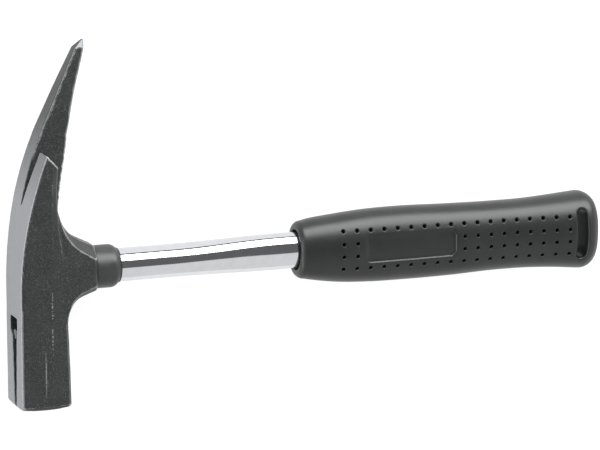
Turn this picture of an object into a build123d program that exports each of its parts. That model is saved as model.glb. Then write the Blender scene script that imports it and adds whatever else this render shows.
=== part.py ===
from build123d import *
import math
import os

# A roofer's hammer lying on its side. It is drawn in working axes and moved into the part's frame at
# the end. In the working axes X is s, the distance along the handle from the front of the head. Y is v,
# the distance from the handle's axis, positive towards the spike. Z is n, the distance from the
# mid-plane of the forging. In the part's frame the origin is at the centre of the bottom of the
# bounding box, +X runs from the head to the grip, +Y from the striking face to the spike, +Z is up.
# All sizes are in millimetres.

# Overall
TOTAL_LENGTH = 319.3        # front of the head to the end of the grip
HEAD_HEIGHT = 183.0         # striking face to the point of the spike
FACE_BELOW_AXIS = 69.0      # striking face to the handle's axis
HALF_THICKNESS = 16.8       # mid-plane to the widest place of the fork

# Head
FRONT_ARC_START = -10.0     # the front of the head is straight below this v and an arc above it
FRONT_ARC_RADIUS = 195.0
FACE_CROWN_RADIUS = 80.0    # the striking face is slightly domed around a small flat middle
FACE_CROWN_CUT = 0.2        # height that the flat middle takes off the dome
FACE_CENTRE_DEPTH = 13.0    # s of the middle of the striking face
FACE_BEVEL = 1.5            # how far the bevel around the face would close in if the face were flat
FRONT_CORNER = 0.8          # small bevel along the head's front corners
BACK_CORNER = 1.0           # small bevel along its back corners
PARTING_DEPTH = 14.3        # middle of the trimmed flash land along the cheeks
LAND_HALF = 1.9
CROWN_HALF = 1.5            # half width of the flat crown along the back of the head
SLIT_ROOT = 34.0            # v of the bottom of the claw slit
SLIT_ROOT_FAR = -1.2        # n of the two sides of the slit at its bottom
SLIT_ROOT_NEAR = 0.0
SLIT_WIDE = 57.0            # v where the slit's sides stop spreading
TINE_INSIDE = 5.0           # n of the tine's side of the slit there
TINE_END = 60.0             # v of the short tine's sharp front edge
TINE_EDGE_DEPTH = 14.6      # s of that edge
TINE_BEVEL_SLOPE = 1.07     # drop of the tine's end per millimetre of depth
TINE_BEVEL_DROP = 14.0      # how far down the back of the tine the bevel runs
SPIKE_TIP = HEAD_HEIGHT - FACE_BELOW_AXIS

# Sections of the head's bar: v, half width at the front, at the land and at the back,
# depth of the back at the near and far edges, depth of the crown at its near and far sides
BAR = [
    (-66.4, 12.7, 13.1, 12.6, 26.0, 26.0, 26.5, 26.5),
    (-45.0, 12.7, 13.1, 12.6, 25.5, 25.5, 26.0, 26.0),
    (-25.0, 12.7, 13.1, 12.6, 24.8, 24.8, 25.3, 25.3),
    (-5.0, 12.8, 13.2, 12.6, 24.3, 24.3, 24.8, 24.8),
    (10.0, 13.5, 13.8, 13.1, 22.9, 22.9, 24.6, 24.6),
    (25.0, 14.7, 15.0, 14.2, 20.6, 20.6, 23.4, 23.9),
    (40.0, 15.9, 16.2, 15.3, 19.1, 20.2, 20.4, 25.9),
    (53.0, 16.4, 16.6, 15.9, 19.6, 23.6, 20.2, 28.9),
    (67.0, 16.6, 16.8, 16.1, 20.9, 28.2, 21.5, 30.6),
]
STRAIGHT_SECTIONS = 4       # the first of these sections belong to the straight striking end
# Sections of the spike: v, depth of its front, depth of its back at the far and at the near side,
# n of its far and near sides
SPIKE = [
    (67.0, 15.8, 28.4, 30.2, -16.6, -3.4),
    (74.6, 19.2, 30.6, 32.0, -16.1, -3.7),
    (84.5, 23.8, 33.1, 33.9, -15.3, -4.0),
    (94.5, 28.4, 35.8, 36.4, -14.3, -4.6),
    (104.0, 32.9, 38.8, 39.1, -13.0, -5.3),
    (110.0, 35.7, 40.4, 40.7, -12.1, -5.9),
]
SPIKE_CORNER = 0.7
SPIKE_POINT = (40.2, 41.0, 41.0, -9.5, -8.6)   # the end of the ground point, in the same order
POINT_CORNER = 0.1

# Boss and blind socket for the tube
BOSS_END = 41.0
BOSS_END_ROUND = 1.2
# The boss towards the spike and towards the striking face: depth where its hollow rounding runs out,
# radius of that rounding, slope in degrees, height at the rounded end, and how far its slanting corners
# stand off
BOSS_UP = (19.5, 24.0, 26.5, 12.4, 0.0)
BOSS_DOWN = (24.8, 12.0, 17.0, 10.4, 3.1)
BOSS_HALF_WIDE = 12.6       # half width across the flats of its cheeks, at the head
BOSS_FLATS_START = 24.4
BOSS_HALF_NARROW = 11.2     # before the rounded end
BOSS_HALF_END = 10.2        # and at the boss's end
BOSS_INSIDE = 8.0           # depth inside the head where the boss's body starts
SOCKET_BOTTOM = 12.0

# Nail holder in the front of the head
POCKET_HALF = 5.5
POCKET_TOP = -22.0
POCKET_LOW = -29.5
POCKET_FUNNEL = -31.8
POCKET_DEPTH = 5.2
GROOVE_MIDDLE = 0.9         # n of the groove's middle line
GROOVE_HALF_TOP = 3.6
GROOVE_HALF_END = 1.3
GROOVE_DEPTH = 3.0
MAGNET_RADIUS = 2.5
MAGNET_V = -30.8
MAGNET_N = -0.3
MAGNET_LENGTH = 5.0
MAGNET_PROUD = 2.2

# Collar
COLLAR_RADIUS = 10.9
COLLAR_END = 54.4
COLLAR_ROUND_START = 49.4
COLLAR_LIP_RADIUS = 9.0
COLLAR_BEVEL = 0.5

# Tube
TUBE_RADIUS = 8.5
TUBE_WALL = 1.4
OVAL_HALF_V = 9.4           # the tube is pressed oval from here to the grip's end
OVAL_HALF_N = 7.2
ROUND_END = 84.0
OVAL_START = 138.0
TUBE_END = 298.0
EXPANDER_LENGTH = 14.0
PLUG_FLANGE = 2.5
PLUG_SPIGOT = 12.0

# Grip
GRIP_START = 150.2
GRIP_POWER = 2.3            # the sections are superellipses
GRIP_POINTS = 20
GRIP_MOUTH_ROUND = 4.5
GRIP_END_ROUND = 8.5
# s, v of the section's centre, half height and half thickness
GRIP = [
    (GRIP_START, -0.2, 14.2, 10.8),
    (157.5, -0.2, 15.7, 12.1),
    (170.0, -0.6, 17.4, 13.0),
    (190.0, -0.7, 18.9, 13.4),
    (208.0, -0.8, 19.2, 13.5),
    (235.0, -1.2, 18.8, 13.4),
    (262.0, -1.1, 18.2, 13.3),
    (280.0, -1.2, 18.4, 13.5),
    (295.0, -1.3, 19.3, 14.4),
    (310.0, -1.6, 20.6, 15.6),
    (TOTAL_LENGTH, -1.7, 21.2, 16.1),
]
HANG_SLOT = (307.1, -1.7, 5.6, 27.0)      # s and v of its centre, width and length
PANEL = (210.1, -0.7, 50.2, 13.4)         # the shallow recess on each side of the grip, the same way
PANEL_FLOOR = 12.35                       # n of the recess's flat floor
PANEL_CORNER = 2.0

REACH = 60.0                # longer than any cut needs to be

FRAME = Location((-TOTAL_LENGTH / 2, FACE_BELOW_AXIS - HEAD_HEIGHT / 2, HALF_THICKNESS))


def across(v):
    """The plane of a section of the head at height v, with s and n as its axes."""
    return Plane(origin=(0, v, 0), x_dir=(1, 0, 0), z_dir=(0, -1, 0))


def along(s):
    """The plane of a section of the handle at distance s, with v and n as its axes."""
    return Plane(origin=(s, 0, 0), x_dir=(0, 1, 0), z_dir=(1, 0, 0))


def front_depth(v):
    """The s of the head's front, which curves back towards the spike."""
    rise = max(0.0, v - FRONT_ARC_START)
    return FRONT_ARC_RADIUS - math.sqrt(FRONT_ARC_RADIUS**2 - rise**2)


def bar_section(v, front_half, land_half, back_half, near, far, crown_near, crown_far, inset=0.0):
    """One section of the forged bar: a drafted hexagon with small corners and a crowned back."""
    front = front_depth(v)
    land = max(PARTING_DEPTH, (front + near) / 2)
    flat = min(LAND_HALF, (near - front) / 4)
    near_half = [
        (front + inset, front_half - FRONT_CORNER - inset),
        (front + FRONT_CORNER + inset, front_half - inset),
        (land - flat, land_half - inset),
        (land + flat, land_half - inset),
        (near - BACK_CORNER - inset, back_half - inset),
        (near - inset, back_half - BACK_CORNER - inset),
        (crown_near - inset, CROWN_HALF),
    ]
    far_half = [(s, -n) for s, n in near_half]
    far_half[4] = (far - BACK_CORNER - inset, -back_half + inset)
    far_half[5] = (far - inset, -back_half + BACK_CORNER + inset)
    far_half[6] = (crown_far - inset, -CROWN_HALF)
    outline = near_half + far_half[::-1]
    return across(v) * make_face(Polyline(*outline, close=True))


def spike_section(v, front, back_far, back_near, far, near, corner=SPIKE_CORNER):
    """One section of the spike: nearly a rectangle, with small corners."""
    outline = [
        (front, near - corner),
        (front + corner, near),
        (back_near - corner, near),
        (back_near, near - corner),
        (back_far, far + corner),
        (back_far - corner, far),
        (front + corner, far),
        (front, far + corner),
    ]
    return across(v) * make_face(Polyline(*outline, close=True))


def make_bar():
    """The forged bar from the domed and bevelled striking face to the top of the fork."""
    sections = [bar_section(*row) for row in BAR]
    face = bar_section(-FACE_BELOW_AXIS, *BAR[0][1:], inset=FACE_BEVEL)
    striking_end = loft([face] + sections[: STRAIGHT_SECTIONS], ruled=True)
    dome_centre = FACE_CROWN_RADIUS - FACE_BELOW_AXIS - FACE_CROWN_CUT
    dome = Pos(FACE_CENTRE_DEPTH, dome_centre, 0) * Sphere(FACE_CROWN_RADIUS)
    return (striking_end & dome) + loft(sections[STRAIGHT_SECTIONS - 1 :])


def make_spike():
    """The drawn spike and its ground point."""
    spike = loft([spike_section(*row) for row in SPIKE])
    tip = spike_section(SPIKE_TIP, *SPIKE_POINT, corner=POINT_CORNER)
    return spike + loft([spike_section(*SPIKE[-1]), tip], ruled=True)


def boss_profile(back, rounding, slope, end_half):
    """Half of the boss in s and v: a wedge with a rounded end and a hollow rounding at its root."""
    slope = math.radians(slope)
    corner = end_half + (BOSS_END - BOSS_END_ROUND - back) * math.tan(slope)
    middle_turn = (math.pi / 2 - slope) / 2
    run = rounding * math.tan(middle_turn)
    root = (back, corner + run)
    leave = (back + run * math.cos(slope), corner - run * math.sin(slope))
    centre = (back + rounding, corner + run)
    middle = (centre[0] - rounding * math.cos(middle_turn), centre[1] - rounding * math.sin(middle_turn))
    shoulder = (BOSS_END - BOSS_END_ROUND, end_half)
    edge = (BOSS_END, end_half - BOSS_END_ROUND)
    bulge = BOSS_END_ROUND * math.cos(math.pi / 4)
    bend = (shoulder[0] + bulge, edge[1] + bulge)
    lines = Line((BOSS_INSIDE, 0), (BOSS_INSIDE, root[1]))
    lines += Line((BOSS_INSIDE, root[1]), root)
    lines += ThreePointArc(root, middle, leave)
    lines += Line(leave, shoulder)
    lines += ThreePointArc(shoulder, bend, edge)
    lines += Line(edge, (BOSS_END, 0))
    lines += Line((BOSS_END, 0), (BOSS_INSIDE, 0))
    return make_face(lines)


def boss_wedge(back, rounding, slope, end_half):
    """The boss's profile on both sides of the axis, across the whole width of the head."""
    half = boss_profile(back, rounding, slope, end_half)
    return extrude(half + half.mirror(Plane.XZ), REACH, both=True)


def boss_bell(back, rounding, slope, end_half, stand_off):
    """A bell with flat sides and slanting corners."""
    sides = boss_wedge(back, rounding, slope, end_half)
    corners = boss_wedge(back, rounding, slope, end_half + stand_off)
    return sides & corners.rotate(Axis.X, 45) & corners.rotate(Axis.X, -45)


def make_boss():
    """The boss that holds the tube: two halves of faceted bells cut to the width of the head."""
    flats = [
        (0, BOSS_HALF_WIDE),
        (BOSS_FLATS_START, BOSS_HALF_WIDE),
        (BOSS_END - BOSS_END_ROUND, BOSS_HALF_NARROW),
        (BOSS_END, BOSS_HALF_END),
    ]
    outline = flats + [(s, -n) for s, n in flats[::-1]]
    slab = across(0) * make_face(Polyline(*outline, close=True))
    upper = boss_bell(*BOSS_UP) & extrude(slab, -REACH)
    lower = boss_bell(*BOSS_DOWN) & extrude(slab, REACH)
    return upper + lower


def cut_from_front(points, depth):
    """A cutter through an outline of (n, v) points, from in front of the head to the given depth."""
    plane = Plane(origin=(depth, 0, 0), x_dir=(0, 0, 1), z_dir=(-1, 0, 0))
    return extrude(plane * make_face(Polyline(*points, close=True)), REACH)


def make_claw_cuts():
    """The V slit between the spike and the short tine, and the bevelled end of the tine."""
    top = SPIKE_TIP
    spike_side = SPIKE[0][5]
    slit = [
        (SLIT_ROOT_FAR, SLIT_ROOT),
        (SLIT_ROOT_NEAR, SLIT_ROOT),
        (TINE_INSIDE, SLIT_WIDE),
        (TINE_INSIDE, top),
        (spike_side, top),
        (spike_side, SLIT_WIDE),
    ]
    low_v = TINE_END - TINE_BEVEL_DROP
    low_s = TINE_EDGE_DEPTH + (TINE_END - low_v) / TINE_BEVEL_SLOPE
    high_v = TINE_END + TINE_EDGE_DEPTH * TINE_BEVEL_SLOPE
    end = [
        (0, high_v),
        (low_s, low_v),
        (REACH, low_v),
        (REACH, top),
        (0, top),
    ]
    tine_cut = extrude(make_face(Polyline(*end, close=True)), REACH)
    return cut_from_front(slit, REACH) + tine_cut


def make_nail_cuts():
    """The pocket for a nail's head, the groove for its shank and the bore for the magnet."""
    bottom = -FACE_BELOW_AXIS - 1
    pocket = [
        (-POCKET_HALF, POCKET_TOP),
        (POCKET_HALF, POCKET_TOP),
        (POCKET_HALF, POCKET_LOW),
        (GROOVE_MIDDLE + GROOVE_HALF_TOP, POCKET_FUNNEL),
        (GROOVE_MIDDLE - GROOVE_HALF_TOP, POCKET_FUNNEL),
        (-POCKET_HALF, POCKET_LOW),
    ]
    groove = [
        (GROOVE_MIDDLE - GROOVE_HALF_TOP, POCKET_LOW),
        (GROOVE_MIDDLE + GROOVE_HALF_TOP, POCKET_LOW),
        (GROOVE_MIDDLE + GROOVE_HALF_END, bottom),
        (GROOVE_MIDDLE - GROOVE_HALF_END, bottom),
    ]
    cuts = cut_from_front(pocket, POCKET_DEPTH) + cut_from_front(groove, GROOVE_DEPTH)
    bore_end = GROOVE_DEPTH - MAGNET_PROUD + MAGNET_LENGTH
    bore = along(0) * Pos(MAGNET_V, MAGNET_N) * Circle(MAGNET_RADIUS)
    return cuts + extrude(bore, bore_end)


def make_hammer_head():
    socket = extrude(along(SOCKET_BOTTOM) * Circle(TUBE_RADIUS), REACH)
    head = make_bar() + make_boss() - make_claw_cuts()
    return head + make_spike() - make_nail_cuts() - socket


def make_nail_magnet():
    face = along(GROOVE_DEPTH - MAGNET_PROUD) * Pos(MAGNET_V, MAGNET_N) * Circle(MAGNET_RADIUS)
    return extrude(face, MAGNET_LENGTH)


def make_neck_collar():
    profile = [
        Line((BOSS_END, TUBE_RADIUS), (BOSS_END, COLLAR_RADIUS - COLLAR_BEVEL)),
        Line((BOSS_END, COLLAR_RADIUS - COLLAR_BEVEL), (BOSS_END + COLLAR_BEVEL, COLLAR_RADIUS)),
        Line((BOSS_END + COLLAR_BEVEL, COLLAR_RADIUS), (COLLAR_ROUND_START, COLLAR_RADIUS)),
        TangentArc((COLLAR_ROUND_START, COLLAR_RADIUS), (COLLAR_END, COLLAR_LIP_RADIUS), tangent=(1, 0)),
        Line((COLLAR_END, COLLAR_LIP_RADIUS), (COLLAR_END, TUBE_RADIUS)),
        Line((COLLAR_END, TUBE_RADIUS), (BOSS_END, TUBE_RADIUS)),
    ]
    return revolve(make_face(Curve() + profile), Axis.X)


def tube_bar(inset, start, end):
    """A solid bar of the tube's shape, smaller all round by inset, from start to end."""
    round_face = Circle(TUBE_RADIUS - inset)
    oval_face = Ellipse(OVAL_HALF_V - inset, OVAL_HALF_N - inset)
    bar = extrude(along(OVAL_START) * oval_face, end - OVAL_START)
    if start < ROUND_END:
        bar += extrude(along(start) * round_face, ROUND_END - start)
        bar += loft([along(ROUND_END) * round_face, along(OVAL_START) * oval_face])
    return bar


def make_handle_tube():
    return tube_bar(0, SOCKET_BOTTOM, TUBE_END) - tube_bar(TUBE_WALL, SOCKET_BOTTOM, TUBE_END)


def make_expander_plug():
    plug = extrude(along(SOCKET_BOTTOM) * Circle(TUBE_RADIUS - TUBE_WALL), EXPANDER_LENGTH)
    return chamfer(plug.edges().sort_by(Axis.X)[-1], 1.0)


def make_tube_end_plug():
    inner = Ellipse(OVAL_HALF_V - TUBE_WALL, OVAL_HALF_N - TUBE_WALL)
    spigot = extrude(along(TUBE_END - PLUG_SPIGOT) * inner, PLUG_SPIGOT)
    flange = extrude(along(TUBE_END) * Ellipse(OVAL_HALF_V, OVAL_HALF_N), PLUG_FLANGE)
    return spigot + flange


def grip_section(s, centre, half_v, half_n):
    """A superellipse section of the grip."""
    power = 2 / GRIP_POWER
    points = []
    for i in range(GRIP_POINTS):
        turn = 2 * math.pi * i / GRIP_POINTS
        v = half_v * math.copysign(abs(math.cos(turn)) ** power, math.cos(turn))
        n = half_n * math.copysign(abs(math.sin(turn)) ** power, math.sin(turn))
        points.append((centre + v, n))
    return along(s) * make_face(Spline(*points, periodic=True))


def make_grip():
    grip = loft([grip_section(*row) for row in GRIP])
    ends = grip.faces().sort_by(Axis.X)
    grip = fillet(ends[0].edges(), GRIP_MOUTH_ROUND)
    grip = fillet(grip.faces().sort_by(Axis.X)[-1].edges(), GRIP_END_ROUND)
    hollow_length = TUBE_END + PLUG_FLANGE - GRIP_START
    hollow = extrude(along(GRIP_START) * Ellipse(OVAL_HALF_V, OVAL_HALF_N), hollow_length)
    slot_s, slot_v, slot_width, slot_length = HANG_SLOT
    slot = Pos(slot_s, slot_v, -REACH / 2) * SlotOverall(slot_length, slot_width, rotation=90)
    panel_s, panel_v, panel_length, panel_height = PANEL
    panel = Pos(panel_s, panel_v, PANEL_FLOOR) * RectangleRounded(panel_length, panel_height, PANEL_CORNER)
    recess = extrude(panel, REACH / 2)
    grip = grip - hollow - extrude(slot, REACH)
    return grip - recess - recess.mirror(Plane.XY)


PIECES = {
    "hammer_head": make_hammer_head,
    "nail_magnet": make_nail_magnet,
    "neck_collar": make_neck_collar,
    "handle_tube": make_handle_tube,
    "expander_plug": make_expander_plug,
    "tube_end_plug": make_tube_end_plug,
    "grip": make_grip,
}

os.makedirs("parts", exist_ok=True)
for name, make in PIECES.items():
    piece = FRAME * make()
    piece.label = name
    export_step(piece, f"parts/{name}.step")
    box = piece.bounding_box()
    print(name, len(piece.solids()), "solid", round(piece.volume), "mm3", box.min, box.max)
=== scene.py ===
import math

import bmesh
import bpy
import numpy as np
from mathutils import Matrix, Vector, noise
from mathutils.geometry import delaunay_2d_cdt


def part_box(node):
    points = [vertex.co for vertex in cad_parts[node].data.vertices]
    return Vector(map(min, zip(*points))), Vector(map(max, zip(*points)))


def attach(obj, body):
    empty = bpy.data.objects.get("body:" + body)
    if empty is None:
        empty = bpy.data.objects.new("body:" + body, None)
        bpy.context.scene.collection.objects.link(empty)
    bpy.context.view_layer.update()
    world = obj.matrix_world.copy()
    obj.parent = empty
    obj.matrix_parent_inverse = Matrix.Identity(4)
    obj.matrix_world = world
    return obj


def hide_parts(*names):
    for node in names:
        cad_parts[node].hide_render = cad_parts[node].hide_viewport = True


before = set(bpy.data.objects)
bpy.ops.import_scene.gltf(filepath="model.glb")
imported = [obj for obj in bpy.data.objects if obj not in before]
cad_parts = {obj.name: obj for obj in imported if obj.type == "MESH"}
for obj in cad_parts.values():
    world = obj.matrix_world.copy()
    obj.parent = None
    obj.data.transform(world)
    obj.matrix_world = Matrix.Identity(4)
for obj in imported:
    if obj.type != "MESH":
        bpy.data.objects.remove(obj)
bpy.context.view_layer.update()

# The pieces are drawn in millimetres in working axes: s along the handle from the front of the head,
# v from the handle's axis towards the spike, n from the mid-plane of the forging.
MM = 0.001
head_low, head_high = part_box("hammer_head")
tube_low, tube_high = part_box("handle_tube")
ORIGIN = Vector((head_low.x, (tube_low.y + tube_high.y) / 2, (tube_low.z + tube_high.z) / 2))

# Camera: it looks down on the lying hammer from beyond the head, with +Y up in the picture
CAMERA_AIM = Vector((-6.5, -9.8, 16.8)) * MM
CAMERA_DISTANCE = 1700.8 * MM
CAMERA_ELEVATION = math.radians(65.32)
CAMERA_AZIMUTH = math.radians(150.44)
CAMERA_LENS = 199.8
FILM_WIDTH = 36.0

# Tube and what it carries
SIDES = 128
TUBE_RADIUS = 8.5
TUBE_WALL = 1.4
OVAL_HALF_V = 9.4
OVAL_HALF_N = 7.2
SOCKET_BOTTOM = 12.0
ROUND_END = 84.0
OVAL_START = 138.0
TUBE_END = 298.0
BOSS_END = 41.0
COLLAR_RADIUS = 10.9
COLLAR_END = 54.4
COLLAR_ROUND = 4.6
COLLAR_LIP = 0.55
MAGNET_RADIUS = 2.5
MAGNET_V = -30.8
MAGNET_N = -0.3
MAGNET_FACE = 0.8
MAGNET_LENGTH = 5.0

# Studio: the dark ceiling is a round patch about this direction and ends between these cosines; the low
# gap on the +Y side ends between these sines of the height
CEILING_CENTRE = (0.276, 0.961)
CEILING = (0.8, 0.84)
HORIZON = (0.17, 0.22)
WALL_LIGHT = 0.93
CEILING_LIGHT = 0.16
HORIZON_SIDE = (0.2, 0.5)   # how far towards +Y a direction points where the low gap sets in and is full
# Softboxes: azimuth and distance, lowest and highest elevation, width, sideways shift and radiance
SOFTBOX_BACK = (90, 2.2, 12, 53, 5.0, -1.0, 7.2)
SOFTBOX_HEAD = (195, 1.2, 2, 22, 1.4, 0.0, 4.0)
# Floor: white mostly by its own emission, so it shows next to no shadow
FLOOR_REACH = 6.0
FLOOR_COLOUR = (0.15, 0.15, 0.15, 1)
FLOOR_EMISSION = 0.92

# Head
VOXEL = 0.45 * MM
TIP_GROUND = 110.3          # v where the ground point starts
TIP_FACET = 0.45            # only faces that look this much to the near or far side are ground bright
LAND_EDGES = (              # the edges of the flash land: s, where and how far its rubbed part reaches
    (12.5, -50.0, 16.0, 0.7, -0.6),         # along v, how strong it is, and where its noise is cut off
    (16.2, -24.0, 17.0, 1.0, -0.22),
)
LAND_FAINT = 0.2
LAND_TOP = 55.0
LAND_FLAT = 0.7             # the land is only on faces that look this much to the near or far side,
LAND_DEPTH = 12.0           # at least this far from the mid-plane
LAND_LIFT = 0.2
FRONT_WEAR = 0.42           # how far the lacquer is rubbed off the front's corners, and off the spike's
SPIKE_WEAR = 0.38
SPIKE_START = 62.0
FRONT_FACING = 0.25
CORNER_SLOPE = (0.32, 0.2)  # slope where a front corner begins to be rubbed, and range to full wear
FULL_BEND = 0.14            # curvature at which any other edge is fully rubbed
PALE_TOP = 78.0             # the front has a paler base colour that fades out up the spike. It stands in for
PALE_FADE = 42.0            # light on the front and is not a finish known from the object
PALE_FACING = (0.5, 0.3)
FORGED_SKIN = ((0.05, 7.0), (0.02, 1.8))    # height and size of the skin's unevenness, broad and fine
SLIT_TOP = 57.0             # the edges of the slit, the pocket and the groove are not rubbed
GROOVE_MIDDLE = 0.9
CUT_REACH = 6.6
BOSS_INSIDE = 20.0

# Grip: s, v of the section's centre, half height and half thickness of superellipse sections
GRIP_POWER = 2.3
GRIP = np.array([
    (150.2, -0.2, 14.2, 10.8),
    (157.5, -0.2, 15.7, 12.1),
    (170.0, -0.6, 17.4, 13.0),
    (190.0, -0.7, 18.9, 13.4),
    (208.0, -0.8, 19.2, 13.5),
    (235.0, -1.2, 18.8, 13.4),
    (262.0, -1.1, 18.2, 13.3),
    (280.0, -1.2, 18.4, 13.5),
    (295.0, -1.3, 19.3, 14.4),
    (310.0, -1.6, 20.6, 15.6),
    (319.3, -1.7, 21.2, 16.1),
])
GRIP_START = GRIP[0, 0]
GRIP_END = GRIP[-1, 0]
UNROLL = 15.0               # millimetres of the unrolled surface for each radian
AROUND = 80                 # rows of points around the grip
SPACING = 1.3
END_ROUND = 8.5
END_DOME = 0.5
END_STEPS = (               # angles around the end's rounding in degrees, with the depth of a fine groove
    *((5 * i, 0.0) for i in range(9)),
    (43, 0.0),
    (45, 0.35),
    (49, 0.35),
    (52, 0.0),
    *((10 * i, 0.0) for i in range(6, 10)),
)
MOUTH_ROUND_V = 3.6
MOUTH_ROUND_N = 2.4
MOUTH_GAP = 1.0
MOUTH_DEPTH = 7.0
PIT_PITCH = 7.5
PIT_COLUMNS = 18
PIT_FIRST = 172.5
PIT_ROWS = (-9.9, -3.3, 3.3, 9.9)
PIT_SLOPE = -0.0134         # how fast the rows drift towards the striking side
PIT_LEVEL_AT = 175.0
PIT_RINGS = ((0.0, 2.3), (0.55, 2.3), (0.98, 2.1), (1.04, 0.5), (1.12, 0.1), (1.28, 0.0), (1.7, 0.0))
PIT_SIDES = 14
PANEL = (210.1, -0.7, 50.2, 13.4)
PANEL_CORNER = 2.2
PANEL_RINGS = ((-0.5, 0.0), (-0.15, 0.1), (0.1, 0.35), (0.2, 0.65), (0.5, 0.8))
PANEL_FLOOR = 0.8
CAVITY_DEPTH = 1.2          # surface points deeper than this are painted near-black as shade
SLOT = (307.1, -1.7, 5.6, 27.0)
SLOT_RINGS = ((1.1, 0.0), (0.5, 0.1), (0.15, 0.4), (0.0, 1.0))
SLOT_SIDES = 56
SLOT_STEPS = 8


def place(s, v, n):
    return ORIGIN + Vector((s, v, n)) * MM


# ---------------------------------------------------------------- materials


class Nodes:
    """A short way to write a material's nodes."""

    def __init__(self, name):
        self.material = bpy.data.materials.new(name)
        self.material.use_nodes = True
        self.tree = self.material.node_tree
        self.shader = self.tree.nodes["Principled BSDF"]
        self.where = self.tree.nodes.new("ShaderNodeTexCoord").outputs["Object"]

    def add(self, kind, inputs=None, **settings):
        node = self.tree.nodes.new(kind)
        for key, value in settings.items():
            setattr(node, key, value)
        for key, value in (inputs or {}).items():
            self.put(node.inputs[key], value)
        return node

    def put(self, socket, value):
        if isinstance(value, bpy.types.NodeSocket):
            self.tree.links.new(value, socket)
        else:
            socket.default_value = value

    def set(self, **values):
        for key, value in values.items():
            self.put(self.shader.inputs[key.replace("_", " ")], value)

    def grain(self, size, detail=3.0, roughness=0.6, stretch=(1, 1, 1)):
        """Noise with features of about that size in millimetres."""
        scale = self.add("ShaderNodeMapping", {"Vector": self.where, "Scale": stretch})
        inputs = {
            "Vector": scale.outputs[0],
            "Scale": 1 / (size * MM),
            "Detail": detail,
            "Roughness": roughness,
        }
        return self.add("ShaderNodeTexNoise", inputs).outputs["Fac"]

    def ramp(self, value, low, high, to_low=0.0, to_high=1.0):
        inputs = {
            "Value": value,
            "From Min": low,
            "From Max": high,
            "To Min": to_low,
            "To Max": to_high,
        }
        return self.add("ShaderNodeMapRange", inputs).outputs["Result"]

    def blend(self, amount, first, second):
        node = self.add("ShaderNodeMix", data_type="RGBA")
        self.put(node.inputs["Factor"], amount)
        self.put(node.inputs["A"], (*first, 1) if isinstance(first, tuple) else first)
        self.put(node.inputs["B"], (*second, 1) if isinstance(second, tuple) else second)
        return node.outputs["Result"]

    def times(self, first, second):
        node = self.add("ShaderNodeMath", operation="MULTIPLY")
        self.put(node.inputs[0], first)
        self.put(node.inputs[1], second)
        return node.outputs[0]

    def bump(self, height, distance, strength=1.0, normal=None):
        inputs = {"Height": height, "Distance": distance * MM, "Strength": strength}
        if normal is not None:
            inputs["Normal"] = normal
        return self.add("ShaderNodeBump", inputs).outputs["Normal"]


def lacquered_steel():
    """Dark grey semi-matt lacquer with a fine grain, rubbed to the metal along the edges, and a paler front
    that is painted light.
    """
    m = Nodes("lacquered_steel")
    broad = m.grain(9.0, detail=4.0)
    fine = m.grain(0.55, detail=3.0, roughness=0.7)
    paint = m.blend(m.ramp(broad, 0.35, 0.65), (0.0055, 0.0075, 0.0065), (0.01, 0.0125, 0.0115))
    paint = m.blend(m.ramp(fine, 0.54, 0.64, 0.0, 0.85), paint, (0.065, 0.07, 0.068))
    # painted light: the front takes a paler base colour that stands in for light falling on it
    front = m.add("ShaderNodeAttribute", attribute_name="front").outputs["Fac"]
    paint = m.blend(front, paint, (0.162, 0.168, 0.179))
    wear = m.add("ShaderNodeAttribute", attribute_name="wear").outputs["Fac"]
    broken = m.ramp(m.grain(1.2, detail=4.0, roughness=0.75), 0.3, 0.52, 0.35, 1.0)
    rubbed = m.times(m.ramp(wear, 0.2, 0.75), broken)
    m.set(
        Base_Color=m.blend(rubbed, paint, (0.42, 0.43, 0.44)),
        Metallic=m.times(rubbed, 0.85),
        Roughness=m.ramp(fine, 0.3, 0.7, 0.36, 0.52),
        Specular_IOR_Level=0.5,
        Normal=m.bump(fine, 0.12, 1.0, m.bump(broad, 0.35, 0.5)),
    )
    return m.material


def ground_steel():
    """Bright steel with the fine lines of the grinding belt."""
    m = Nodes("ground_steel")
    lines = m.grain(0.25, detail=2.0, stretch=(1, 0.12, 1))
    m.set(
        Base_Color=m.blend(m.ramp(lines, 0.3, 0.7), (0.1, 0.11, 0.115), (0.15, 0.16, 0.165)),
        Metallic=0.6,
        Roughness=m.ramp(lines, 0.3, 0.7, 0.3, 0.5),
        Normal=m.bump(lines, 0.03, 0.6),
    )
    return m.material


def satin_plastic(name, dark, light, size):
    """Moulded plastic with a faint spark-eroded texture."""
    m = Nodes(name)
    fine = m.grain(size, detail=2.0)
    broad = m.grain(6.0)
    m.set(
        Base_Color=m.blend(m.ramp(broad, 0.35, 0.65), dark, light),
        Roughness=m.ramp(broad, 0.3, 0.7, 0.36, 0.46),
        Normal=m.bump(fine, 0.02, 0.5),
    )
    return m.material


def soft_grip_plastic():
    """Charcoal soft moulding with a fine leathery texture, slightly polished by hands, with painted shade
    deep in its pits.
    """
    m = Nodes("soft_grip_plastic")
    fine = m.grain(0.5, detail=3.0, roughness=0.6)
    cells = m.add("ShaderNodeTexVoronoi", {"Vector": m.where, "Scale": 1 / (0.8 * MM)})
    broad = m.grain(14.0, detail=4.0)
    # painted shade: points deep in the pits get a near-black base colour and full roughness
    painted_pit_shade = m.add("ShaderNodeAttribute", attribute_name="painted_pit_shade").outputs["Fac"]
    plastic = m.blend(m.ramp(broad, 0.35, 0.65), (0.006, 0.0072, 0.007), (0.01, 0.0115, 0.011))
    m.set(
        Base_Color=m.blend(painted_pit_shade, plastic, (0.002, 0.002, 0.002)),
        Roughness=m.ramp(painted_pit_shade, 0.0, 0.5, 0.37, 1.0),
        Normal=m.bump(fine, 0.06, 0.6, m.bump(cells.outputs["Distance"], 0.03, 0.4)),
    )
    return m.material


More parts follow.
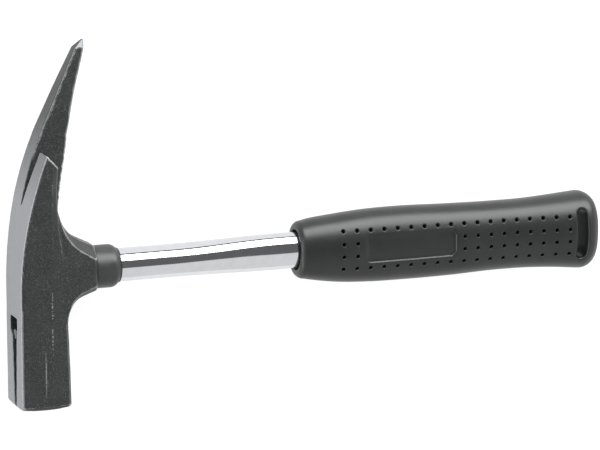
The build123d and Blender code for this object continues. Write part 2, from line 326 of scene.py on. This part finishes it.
def chrome_plate():
    """Bright chrome with the faint lengthwise unevenness of a drawn tube."""
    m = Nodes("chrome_plate")
    drawn = m.grain(1.2, detail=3.0, stretch=(0.05, 1, 1))
    haze = m.grain(5.0, detail=4.0)
    m.set(
        Base_Color=m.blend(m.ramp(haze, 0.3, 0.7), (0.62, 0.63, 0.65), (0.67, 0.68, 0.7)),
        Metallic=1.0,
        Roughness=m.ramp(haze, 0.35, 0.75, 0.05, 0.1),
        Normal=m.bump(drawn, 0.01, 0.35),
    )
    return m.material


def turned_steel(name, dark=(0.36, 0.36, 0.37), light=(0.56, 0.56, 0.57)):
    """Plain steel with turning marks."""
    m = Nodes(name)
    marks = m.grain(0.3, detail=2.0, stretch=(1, 0.2, 0.2))
    m.set(
        Base_Color=m.blend(marks, dark, light),
        Metallic=1.0,
        Roughness=m.ramp(marks, 0.3, 0.7, 0.25, 0.42),
        Normal=m.bump(marks, 0.02, 0.4),
    )
    return m.material


# ---------------------------------------------------------------- mesh helpers


def add_piece(name, points, faces, node, slot, sharp=40):
    """A new mesh piece in working axes that stands for a CAD node."""
    mesh = bpy.data.meshes.new(name)
    mesh.from_pydata([place(*p) for p in points], [], faces)
    piece = bpy.data.objects.new(name, mesh)
    bpy.context.scene.collection.objects.link(piece)
    clean(mesh, sharp)
    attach(piece, "root")
    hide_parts(node)
    return piece


def clean(mesh, sharp):
    """Joins points that coincide, turns all faces outwards and shades them smooth."""
    shape = bmesh.new()
    shape.from_mesh(mesh)
    bmesh.ops.remove_doubles(shape, verts=shape.verts, dist=0.002 * MM)
    bmesh.ops.dissolve_degenerate(shape, edges=shape.edges, dist=0.001 * MM)
    bmesh.ops.recalc_face_normals(shape, faces=shape.faces)
    shape.to_mesh(mesh)
    shape.free()
    mesh.shade_smooth()
    mesh.set_sharp_from_angle(angle=math.radians(sharp))


def skin(rows, close_rows=True, close_ends=False):
    """Points and faces of a grid: rows of equal length, closed around each row where asked."""
    width = len(rows[0])
    points = [p for row in rows for p in row]
    faces = []
    for i in range(len(rows) if close_ends else len(rows) - 1):
        below = (i + 1) % len(rows)
        for j in range(width if close_rows else width - 1):
            k = (j + 1) % width
            faces.append((i * width + j, i * width + k, below * width + k, below * width + j))
    return points, faces


def arc(centre_s, centre_r, radius, start, end, steps):
    """Points (s, r) on an arc, with angles in degrees from the direction of r towards s."""
    turns = [math.radians(start + (end - start) * i / steps) for i in range(steps + 1)]
    return [(centre_s + radius * math.sin(t), centre_r + radius * math.cos(t)) for t in turns]


def turned(profile, v=0.0, n=0.0, closed=False):
    """A lathe shape around an axis along s through (v, n): one ring of points for each (s, r)."""
    rows = []
    for s, r in profile:
        ring = []
        for i in range(SIDES):
            turn = 2 * math.pi * i / SIDES
            ring.append((s, v + r * math.sin(turn), n + r * math.cos(turn)))
        rows.append(ring)
    return skin(rows, close_ends=closed)


# ---------------------------------------------------------------- head


def vertex_array(mesh):
    flat = np.zeros(len(mesh.vertices) * 3)
    mesh.vertices.foreach_get("co", flat)
    return flat.reshape(-1, 3)


def edge_array(mesh):
    flat = np.zeros(len(mesh.edges) * 2, int)
    mesh.edges.foreach_get("vertices", flat)
    return flat.reshape(-1, 2)


def neighbour_mean(values, edges, counts):
    total = np.zeros_like(values)
    np.add.at(total, edges[:, 0], values[edges[:, 1]])
    np.add.at(total, edges[:, 1], values[edges[:, 0]])
    return total / counts


def remeshed(source, name):
    """A copy of a CAD node's mesh, rebuilt as an even grid so that it can be worked on."""
    copy = bpy.data.objects.new(name + "_source", source.data.copy())
    bpy.context.scene.collection.objects.link(copy)
    remesh = copy.modifiers.new("even", "REMESH")
    remesh.mode = "VOXEL"
    remesh.voxel_size = VOXEL
    bpy.context.view_layer.update()
    graph = bpy.context.evaluated_depsgraph_get()
    mesh = bpy.data.meshes.new_from_object(copy.evaluated_get(graph))
    mesh.name = name
    bpy.data.objects.remove(copy)
    return mesh


def edge_wear(points, edges, counts, normals, work):
    """How far the lacquer is rubbed off at each point of the head, from 0 to 1."""
    bend = -((neighbour_mean(points, edges, counts) - points) * normals).sum(1, keepdims=True) / VOXEL
    for _ in range(2):
        bend = 0.5 * bend + 0.5 * neighbour_mean(bend, edges, counts)
    rubbed = np.clip(bend[:, 0] / FULL_BEND, 0, 1)
    slope = np.minimum(np.hypot(normals[:, 0], normals[:, 1]), np.abs(normals[:, 2]))
    front = normals[:, 0] < -FRONT_FACING
    s, v, n = work.T
    begin, span = CORNER_SLOPE
    corner = np.clip((slope - begin) / span, 0, 1) * np.where(v > SPIKE_START, SPIKE_WEAR, FRONT_WEAR)
    wear = np.where(front, corner, rubbed)
    cuts = (v < SLIT_TOP) & (np.abs(n - GROOVE_MIDDLE) < CUT_REACH) & (s < BOSS_INSIDE)
    wear[cuts] = 0
    return wear


def make_head():
    """The forged head: softened edges, an uneven forged skin and a ragged trimmed flash land."""
    mesh = remeshed(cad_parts["hammer_head"], "forged_head")
    points = vertex_array(mesh)
    edges = edge_array(mesh)
    counts = np.bincount(edges.ravel(), minlength=len(points))[:, None].astype(float)
    for weight in (0.5, -0.52) * 4:
        points += weight * (neighbour_mean(points, edges, counts) - points)
    mesh.vertices.foreach_set("co", points.ravel())
    mesh.update()
    normals = np.zeros(len(points) * 3)
    mesh.vertices.foreach_get("normal", normals)
    normals = normals.reshape(-1, 3)

    work = (points - np.array(ORIGIN)) / MM
    wear = edge_wear(points, edges, counts, normals, work)
    lift = np.zeros(len(points))
    for i, (s, v, n) in enumerate(work):
        spot = Vector((s, v, n))
        lift[i] = sum(height * noise.noise(spot / size) for height, size in FORGED_SKIN)
        if v > LAND_TOP or abs(normals[i, 2]) < LAND_FLAT or abs(n) < LAND_DEPTH:
            continue
        for edge_s, middle_v, spread, strength, gaps in LAND_EDGES:
            fade = 1 - abs(s - edge_s - 0.15 * noise.noise(spot / 5.0)) / 0.5
            if fade > 0:
                strength *= math.exp(-((v - middle_v) / spread) ** 2)
                strength = max(strength, LAND_FAINT)
                ragged = max(0.0, noise.noise(Vector((s / 3, v * 1.6, n))) - gaps)
                lift[i] += LAND_LIFT * strength * ragged * fade
                wear[i] = max(wear[i], strength * fade * min(1.0, 3.0 * ragged))
    ground = work[:, 1] > TIP_GROUND
    lift[ground] = 0.0
    points += normals * lift[:, None] * MM
    low, high = np.array(head_low), np.array(head_high)
    points = np.clip(points, low, high)
    mesh.vertices.foreach_set("co", points.ravel())
    mesh.update()
    # painted light on the front: faces that look to the front get a paler base colour, fading out up the
    # spike
    begin, span = PALE_FACING
    facing = np.clip((-normals[:, 0] - begin) / span, 0, 1)
    painted_front_light = facing * np.clip((PALE_TOP - work[:, 1]) / PALE_FADE, 0, 1)
    for name, values in (("wear", wear), ("front", painted_front_light)):
        attribute = mesh.attributes.new(name, "FLOAT", "POINT")
        attribute.data.foreach_set("value", values.astype(np.float32))

    mesh.materials.clear()
    mesh.materials.append(lacquered_steel())
    mesh.materials.append(ground_steel())
    for face in mesh.polygons:
        if (face.center.y - ORIGIN.y) / MM > TIP_GROUND and abs(face.normal.z) > TIP_FACET:
            face.material_index = 1
    mesh.shade_smooth()
    head = bpy.data.objects.new("forged_head", mesh)
    bpy.context.scene.collection.objects.link(head)
    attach(head, "root")
    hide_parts("hammer_head")


# ---------------------------------------------------------------- handle


def tube_halves(s):
    """Half height and half thickness of the tube, which goes from round to oval."""
    t = min(1.0, max(0.0, (s - ROUND_END) / (OVAL_START - ROUND_END)))
    t = t * t * (3 - 2 * t)
    half_v = TUBE_RADIUS + (OVAL_HALF_V - TUBE_RADIUS) * t
    half_n = TUBE_RADIUS + (OVAL_HALF_N - TUBE_RADIUS) * t
    return half_v, half_n


def oval_ring(s, inset, sides=SIDES):
    half_v, half_n = tube_halves(s)
    turns = [2 * math.pi * i / sides for i in range(sides)]
    return [(s, (half_v - inset) * math.sin(t), (half_n - inset) * math.cos(t)) for t in turns]


def make_tube():
    steps = 110
    stations = [SOCKET_BOTTOM + (TUBE_END - SOCKET_BOTTOM) * i / steps for i in range(steps + 1)]
    rows = [oval_ring(s, 0) for s in stations]
    rows += [oval_ring(s, TUBE_WALL) for s in reversed(stations)]
    tube = add_piece("chromed_tube", *skin(rows, close_ends=True), "handle_tube", "tube_chrome")
    tube.data.materials.append(chrome_plate())


def make_collar():
    flat_end = COLLAR_END - COLLAR_ROUND
    outer = arc(flat_end, COLLAR_RADIUS - COLLAR_ROUND, COLLAR_ROUND, 0, 62, 14)
    profile = [(BOSS_END, TUBE_RADIUS), (BOSS_END, COLLAR_RADIUS - 1.0)]
    profile += arc(BOSS_END + 0.6, COLLAR_RADIUS - 0.6, 0.6, -90, 0, 5)
    profile += [(BOSS_END + 3.0, COLLAR_RADIUS), *outer]
    profile += [(COLLAR_END, TUBE_RADIUS + COLLAR_LIP * 0.6), (COLLAR_END, TUBE_RADIUS)]
    collar = add_piece("collar", *turned(profile, closed=True), "neck_collar", "collar_plastic")
    plastic = satin_plastic("collar_plastic", (0.018, 0.02, 0.02), (0.024, 0.026, 0.026), 0.3)
    collar.data.materials.append(plastic)


def make_magnet():
    edge = 0.3
    profile = [(MAGNET_FACE, 0.0), (MAGNET_FACE, MAGNET_RADIUS - edge)]
    profile += arc(MAGNET_FACE + edge, MAGNET_RADIUS - edge, edge, -90, 0, 4)
    profile += [(MAGNET_FACE + MAGNET_LENGTH, MAGNET_RADIUS), (MAGNET_FACE + MAGNET_LENGTH, 0.0)]
    shape = turned(profile, v=MAGNET_V, n=MAGNET_N)
    magnet = add_piece("magnet_plug", *shape, "nail_magnet", "magnet_steel")
    magnet.data.materials.append(turned_steel("magnet_steel", (0.07, 0.07, 0.07), (0.16, 0.16, 0.16)))


# ---------------------------------------------------------------- grip


def smooth_value(s, column):
    """A smooth curve through one column of the grip's sections (cubic Hermite)."""
    xs, ys = GRIP[:, 0], GRIP[:, column]
    slopes = np.gradient(ys, xs)
    s = np.clip(s, xs[0], xs[-1])
    i = np.clip(np.searchsorted(xs, s) - 1, 0, len(xs) - 2)
    span = xs[i + 1] - xs[i]
    t = (s - xs[i]) / span
    low = (1 + 2 * t) * (1 - t) ** 2 * ys[i] + t * (1 - t) ** 2 * span * slopes[i]
    high = t**2 * (3 - 2 * t) * ys[i + 1] + t**2 * (t - 1) * span * slopes[i + 1]
    return low + high


def grip_surface(s, turn):
    """Points of the plain outer surface. A turn of 0 faces the near side, a quarter faces the spike."""
    c, d = np.cos(turn), np.sin(turn)
    reach = (abs(c) ** GRIP_POWER + abs(d) ** GRIP_POWER) ** (-1 / GRIP_POWER)
    v = smooth_value(s, 1) + smooth_value(s, 2) * reach * d
    n = smooth_value(s, 3) * reach * c
    return np.stack([s + 0 * turn, v, n], axis=-1)


def grip_normal(s, turn):
    step = 1e-3
    along = grip_surface(s + step, turn) - grip_surface(s - step, turn)
    around = grip_surface(s, turn + step) - grip_surface(s, turn - step)
    normal = np.cross(along, around)
    return normal / np.linalg.norm(normal, axis=-1, keepdims=True)


def turn_at(s, v, side):
    """The turn of the surface point with that s and v, on the near side (1) or the far side (-1)."""
    q = (v - smooth_value(s, 1)) / smooth_value(s, 2)
    power = np.abs(q) ** GRIP_POWER
    turn = np.sign(q) * np.arctan((power / (1 - power)) ** (1 / GRIP_POWER))
    return turn if side > 0 else math.pi - turn


class Sheet:
    """The grip's surface laid out flat: points (s, turn * UNROLL), how deep each lies, and fixed edges."""

    def __init__(self):
        self.points = []
        self.depths = []
        self.edges = []

    def add(self, s, turn, depth=0.0):
        self.points.append((float(s), float(turn) * UNROLL))
        self.depths.append(depth)
        return len(self.points) - 1

    def loop(self, outline, depth):
        found = [self.add(s, turn, depth) for s, turn in outline]
        self.edges += [(found[i], found[(i + 1) % len(found)]) for i in range(len(found))]
        return found


def pit_places():
    """s and v of every pit on one side. The two middle rows stop where the panel is."""
    places = []
    for column in range(PIT_COLUMNS):
        s = PIT_FIRST + PIT_PITCH * column
        drift = PIT_SLOPE * (s - PIT_LEVEL_AT)
        for v in PIT_ROWS:
            beside_panel = abs(s - PANEL[0]) < PANEL[2] / 2 + 2 and abs(v) < PANEL[3] / 2
            if not beside_panel:
                places.append((s, v + drift))
    return places


def panel_outline(inset):
    """(s, v) points around the panel: rounded corners towards the head, cut ones towards the end."""
    centre_s, centre_v, length, height = PANEL
    half_s, half_v = length / 2 - inset, height / 2 - inset
    corner = PANEL_CORNER - inset
    points = []
    across_steps, along_steps, corner_steps = 8, 38, 4
    for quarter in range(4):
        sign_s = (1, -1, -1, 1)[quarter]
        sign_v = (1, 1, -1, -1)[quarter]
        for i in range(corner_steps + 1):
            turn = math.radians(90 * (quarter + i / corner_steps))
            round_s, round_v = math.cos(turn), math.sin(turn)
            if sign_s > 0:
                share = i / corner_steps if quarter == 0 else 1 - i / corner_steps
                round_s, round_v = 1 - share, sign_v * share
            points.append((
                centre_s + sign_s * (half_s - corner) + corner * round_s,
                centre_v + sign_v * (half_v - corner) + corner * round_v,
            ))
        start = points[-1]
        steps = along_steps if quarter % 2 == 0 else across_steps
        next_s = (-1, -1, 1, 1)[quarter] * (half_s - (corner if quarter % 2 == 0 else 0))
        next_v = (1, -1, -1, 1)[quarter] * (half_v - (0 if quarter % 2 == 0 else corner))
        end = (centre_s + next_s, centre_v + next_v)
        for i in range(1, steps):
            t = i / steps
            points.append((start[0] + (end[0] - start[0]) * t, start[1] + (end[1] - start[1]) * t))
    return points


def slot_outline(offset):
    """(s, v) points around the hanging slot, which has round ends."""
    centre_s, centre_v, width, length = SLOT
    radius = width / 2 + offset
    straight = length / 2 - width / 2
    points = []
    half = SLOT_SIDES // 2
    arc_steps = half // 2
    for end in (1, -1):
        for i in range(arc_steps + 1):
            turn = math.radians(180 * i / arc_steps)
            points.append((
                centre_s + end * radius * math.cos(turn),
                centre_v + end * (straight + radius * math.sin(turn)),
            ))
        line_steps = half - arc_steps
        for i in range(1, line_steps):
            level = end * straight * (1 - 2 * i / line_steps)
            points.append((centre_s - end * radius, centre_v + level))
    return points


def in_slot(s, v, margin):
    centre_s, centre_v, width, length = SLOT
    beyond = max(0.0, abs(v - centre_v) - (length - width) / 2)
    return math.hypot(s - centre_s, beyond) < width / 2 + margin


def in_panel(s, v, margin):
    centre_s, centre_v, length, height = PANEL
    return abs(s - centre_s) < length / 2 + margin and abs(v - centre_v) < height / 2 + margin


def unrolled_grip(first, last):
    """The flat layout of the grip's surface between two distances, and its two slot loops."""
    sheet = Sheet()
    pits = pit_places()
    slots = []
    for side in (1, -1):
        for s, v in pits:
            turn = turn_at(s, v, side)
            around = grip_surface(s, turn + 0.01) - grip_surface(s, turn - 0.01)
            stretch = np.linalg.norm(around) / 0.02
            for radius, depth in PIT_RINGS:
                if radius == 0:
                    sheet.add(s, turn, depth)
                    continue
                outline = []
                for i in range(PIT_SIDES):
                    angle = 2 * math.pi * i / PIT_SIDES
                    around_turn = turn + radius * math.sin(angle) / stretch
                    outline.append((s + radius * math.cos(angle), around_turn))
                sheet.loop(outline, depth)
        for inset, depth in PANEL_RINGS:
            outline = [(s, turn_at(s, v, side)) for s, v in panel_outline(inset)]
            sheet.loop(outline, depth)
        loop = []
        for offset, depth in SLOT_RINGS:
            outline = [(s, turn_at(s, v, side)) for s, v in slot_outline(offset)]
            loop = sheet.loop(outline, depth)
        slots.append(loop)
    pit_field = np.array(pits)
    for row in range(AROUND + 1):
        turn = -math.pi / 2 + 2 * math.pi * row / AROUND
        side = 1 if math.cos(turn) >= 0 else -1
        sheet.add(first, turn)
        sheet.add(last, turn)
        s = first + SPACING * (0.6 + 0.5 * (row % 2))
        while s < last - 0.6 * SPACING:
            v = grip_surface(np.float64(s), np.float64(turn))[1]
            depth = 0.0
            free = abs(math.cos(turn)) > 0.02
            if free and np.min(np.hypot(pit_field[:, 0] - s, pit_field[:, 1] - v)) < 2.1:
                s += SPACING
                continue
            if free and in_slot(s, v, 1.6):
                s += SPACING
                continue
            if free and in_panel(s, v, 0.9):
                if not in_panel(s, v, -1.2):
                    s += SPACING
                    continue
                depth = PANEL_FLOOR
            sheet.add(s, turn, depth)
            s += SPACING
    return sheet, slots


def ring_inwards(s_row, base, depth):
    """A ring at distance s_row, with the points of a base ring moved in by depth along their normals."""
    turns = -math.pi / 2 + 2 * math.pi * np.arange(AROUND) / AROUND
    stations = np.full(AROUND, float(base))
    points = grip_surface(stations, turns)
    normals = grip_normal(stations, turns)
    normals[:, 0] = 0
    normals /= np.linalg.norm(normals, axis=1, keepdims=True)
    points = points - normals * np.reshape(depth, (-1, 1))
    points[:, 0] = s_row
    return [tuple(p) for p in points]


def mouth_rings():
    """Rings from the outer surface round the mouth's rim and down the bore."""
    turns = -math.pi / 2 + 2 * math.pi * np.arange(AROUND) / AROUND
    rounding = MOUTH_ROUND_N + (MOUTH_ROUND_V - MOUTH_ROUND_N) * np.sin(turns) ** 2
    rings = []
    first = GRIP_START + MOUTH_ROUND_V
    for i in range(9):
        angle = math.radians(10 * i)
        ring = ring_inwards(first, first, rounding * (1 - math.cos(angle)))
        rings.append([
            (GRIP_START + r * (1 - math.sin(angle)) + (MOUTH_ROUND_V - r) * (1 - i / 8), v, n)
            for r, (_, v, n) in zip(rounding, ring)
        ])
    bore = [(0.0, MOUTH_GAP + 0.35), (0.4, MOUTH_GAP), (2.5, MOUTH_GAP * 0.8), (MOUTH_DEPTH, 0.05)]
    bore += [(TUBE_END + 2.5 - GRIP_START, 0.05)]
    for depth, gap in bore:
        ring = []
        for turn in turns:
            half_v = OVAL_HALF_V + gap
            half_n = OVAL_HALF_N + gap
            ring.append((GRIP_START + depth, half_v * math.sin(turn), half_n * math.cos(turn)))
        rings.append(ring)
    rings.append([(TUBE_END + 2.5, 0.0, 0.0)] * AROUND)
    return rings


def end_rings():
    """Rings from the outer surface round the end and over its slightly domed face."""
    last = GRIP_END - END_DOME - END_ROUND
    rings = []
    for degrees, groove in END_STEPS:
        angle = math.radians(degrees)
        depth = END_ROUND * (1 - math.cos(angle)) + groove
        rings.append(ring_inwards(last + END_ROUND * math.sin(angle), last, depth))
    edge = rings[-1]
    middle_v = smooth_value(np.float64(last), 1)
    for share in (0.8, 0.55, 0.3, 0.0):
        rise = GRIP_END - END_DOME * share**2
        rings.append([(rise, middle_v + (v - middle_v) * share, n * share) for _, v, n in edge])
    return rings


def make_grip():
    first = GRIP_START + MOUTH_ROUND_V
    last = GRIP_END - END_DOME - END_ROUND
    sheet, slots = unrolled_grip(first, last)
    flat = [Vector(p) for p in sheet.points]
    flat_out, _, triangles, origins, _, _ = delaunay_2d_cdt(flat, sheet.edges, [], 0, 1e-6, True)
    s = np.array([p.x for p in flat_out])
    turn = np.array([p.y for p in flat_out]) / UNROLL
    depth = np.array([sheet.depths[o[0]] if o else 0.0 for o in origins])
    surface = grip_surface(s, turn) - grip_normal(s, turn) * depth[:, None]
    points = [tuple(p) for p in surface]
    new_index = {old: new for new, olds in enumerate(origins) for old in olds}
    faces = []
    for triangle in triangles:
        middle_s = sum(s[i] for i in triangle) / 3
        middle_turn = sum(turn[i] for i in triangle) / 3
        v = grip_surface(middle_s, middle_turn)[1]
        if not in_slot(middle_s, v, -0.01):
            faces.append(tuple(triangle))
    near = [points[new_index[i]] for i in slots[0]]
    far = [points[new_index[i]] for i in slots[1]]
    walls = []
    for step in range(SLOT_STEPS + 1):
        t = step / SLOT_STEPS
        walls.append([tuple(a + (b - a) * t for a, b in zip(p, q)) for p, q in zip(near, far)])
    for rows in (walls, mouth_rings(), end_rings()):
        more_points, more_faces = skin(rows)
        base = len(points)
        points += more_points
        faces += [tuple(base + i for i in face) for face in more_faces]
    grip = add_piece("soft_grip", points, faces, "grip", "grip_rubber", sharp=50)
    mark_cavities(grip.data)
    grip.data.materials.append(soft_grip_plastic())


def mark_cavities(mesh):
    """Gives each point of the grip a value from 0 on its surface to 1 deep in a pit, as an attribute that
    paints shade into the pits.
    """
    work = (vertex_array(mesh) - np.array(ORIGIN)) / MM
    s, v, n = work.T
    centre, half_v, half_n = (smooth_value(s, column) for column in (1, 2, 3))
    powers = np.abs((v - centre) / half_v) ** GRIP_POWER + np.abs(n / half_n) ** GRIP_POWER
    reach = powers ** (1 / GRIP_POWER)
    inside = (1 - reach) * np.minimum(half_v, half_n)
    body = (s > GRIP_START + 2 * MOUTH_ROUND_V) & (s < GRIP_END - 2 * END_ROUND)
    value = np.where(body, np.clip((inside - PANEL_FLOOR - 0.2) / CAVITY_DEPTH, 0, 1), 0)
    attribute = mesh.attributes.new("painted_pit_shade", "FLOAT", "POINT")
    attribute.data.foreach_set("value", value.astype(np.float32))


# ---------------------------------------------------------------- scene


def make_camera():
    data = bpy.data.cameras.new("camera")
    data.lens = CAMERA_LENS
    data.sensor_width = FILM_WIDTH
    camera = bpy.data.objects.new("camera", data)
    bpy.context.scene.collection.objects.link(camera)
    level = math.cos(CAMERA_ELEVATION)
    along, across = level * math.cos(CAMERA_AZIMUTH), level * math.sin(CAMERA_AZIMUTH)
    back = Vector((along, across, math.sin(CAMERA_ELEVATION)))
    right = Vector((0, 1, 0)).cross(back).normalized()
    up = back.cross(right)
    turn = Matrix((right, up, back)).transposed().to_4x4()
    camera.matrix_world = Matrix.Translation(CAMERA_AIM + back * CAMERA_DISTANCE) @ turn
    bpy.context.scene.camera = camera


def make_floor():
    """A plain white sheet."""
    mesh = bpy.data.meshes.new("floor")
    r = FLOOR_REACH
    mesh.from_pydata([(-r, -r, 0), (r, -r, 0), (r, r, 0), (-r, r, 0)], [], [(0, 1, 2, 3)])
    floor = bpy.data.objects.new("floor", mesh)
    bpy.context.scene.collection.objects.link(floor)
    material = bpy.data.materials.new("floor_white")
    material.use_nodes = True
    shader = material.node_tree.nodes["Principled BSDF"]
    shader.inputs["Base Color"].default_value = FLOOR_COLOUR
    shader.inputs["Roughness"].default_value = 0.9
    shader.inputs["Specular IOR Level"].default_value = 0.0
    shader.inputs["Emission Color"].default_value = (1, 1, 1, 1)
    shader.inputs["Emission Strength"].default_value = FLOOR_EMISSION
    mesh.materials.append(material)


def softbox(name, azimuth, distance, low, high, width, shift, radiance):
    """An upright softbox that stands in a direction from the hammer, between two heights in degrees."""
    bottom, top = (distance * math.tan(math.radians(angle)) for angle in (low, high))
    data = bpy.data.lights.new(name, "AREA")
    data.shape = "RECTANGLE"
    data.size = width
    data.size_y = top - bottom
    data.energy = radiance * math.pi * width * (top - bottom)
    light = bpy.data.objects.new(name, data)
    bpy.context.scene.collection.objects.link(light)
    out = Vector((math.cos(math.radians(azimuth)), math.sin(math.radians(azimuth)), 0))
    side = Vector((0, 0, 1)).cross(out)
    spot = out * distance + side * shift + Vector((0, 0, (bottom + top) / 2))
    light.matrix_world = Matrix.Translation(spot) @ out.to_track_quat("Z", "Y").to_matrix().to_4x4()


def make_studio():
    """Light walls all round, a dark ceiling, and a dark line low on the +Y side."""
    world = bpy.data.worlds.new("studio")
    world.use_nodes = True
    tree = world.node_tree
    where = tree.nodes.new("ShaderNodeTexCoord").outputs["Generated"]
    split = tree.nodes.new("ShaderNodeSeparateXYZ")
    tree.links.new(where, split.inputs[0])

    def span(value, low, high):
        node = tree.nodes.new("ShaderNodeMapRange")
        node.interpolation_type = "SMOOTHSTEP"
        node.inputs["From Min"].default_value = low
        node.inputs["From Max"].default_value = high
        tree.links.new(value, node.inputs["Value"])
        return node.outputs["Result"]

    def join(operation, first, second):
        node = tree.nodes.new("ShaderNodeMath")
        node.operation = operation
        for socket, value in zip(node.inputs, (first, second)):
            if isinstance(value, bpy.types.NodeSocket):
                tree.links.new(value, socket)
            else:
                socket.default_value = value
        return node.outputs[0]

    across = join("MULTIPLY", split.outputs["Y"], CEILING_CENTRE[0])
    towards = join("ADD", across, join("MULTIPLY", split.outputs["Z"], CEILING_CENTRE[1]))
    walls = join("SUBTRACT", 1.0, span(towards, *CEILING))
    low = join("SUBTRACT", 1.0, span(split.outputs["Z"], *HORIZON))
    gap = join("MULTIPLY", low, span(split.outputs["Y"], *HORIZON_SIDE))
    light = join("MULTIPLY", walls, join("SUBTRACT", 1.0, gap))
    strength = join("ADD", join("MULTIPLY", light, WALL_LIGHT - CEILING_LIGHT), CEILING_LIGHT)
    background = tree.nodes["Background"]
    background.inputs["Color"].default_value = (1, 1, 1, 1)
    tree.links.new(strength, background.inputs["Strength"])
    bpy.context.scene.world = world


def make_light():
    make_studio()
    softbox("softbox_back", *SOFTBOX_BACK)
    softbox("softbox_head", *SOFTBOX_HEAD)


def finish_hidden():
    """The plugs inside the tube keep their CAD shape."""
    for node, material in (
        ("expander_plug", turned_steel("plug_steel")),
        ("tube_end_plug", satin_plastic("plug_plastic", (0.03, 0.03, 0.03), (0.05, 0.05, 0.05), 0.4)),
    ):
        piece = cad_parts[node]
        piece.data.materials.clear()
        piece.data.materials.append(material)


make_camera()
make_floor()
make_light()
bpy.context.scene.view_settings.view_transform = "Standard"
make_head()
make_magnet()
make_collar()
make_tube()
make_grip()
finish_hidden()
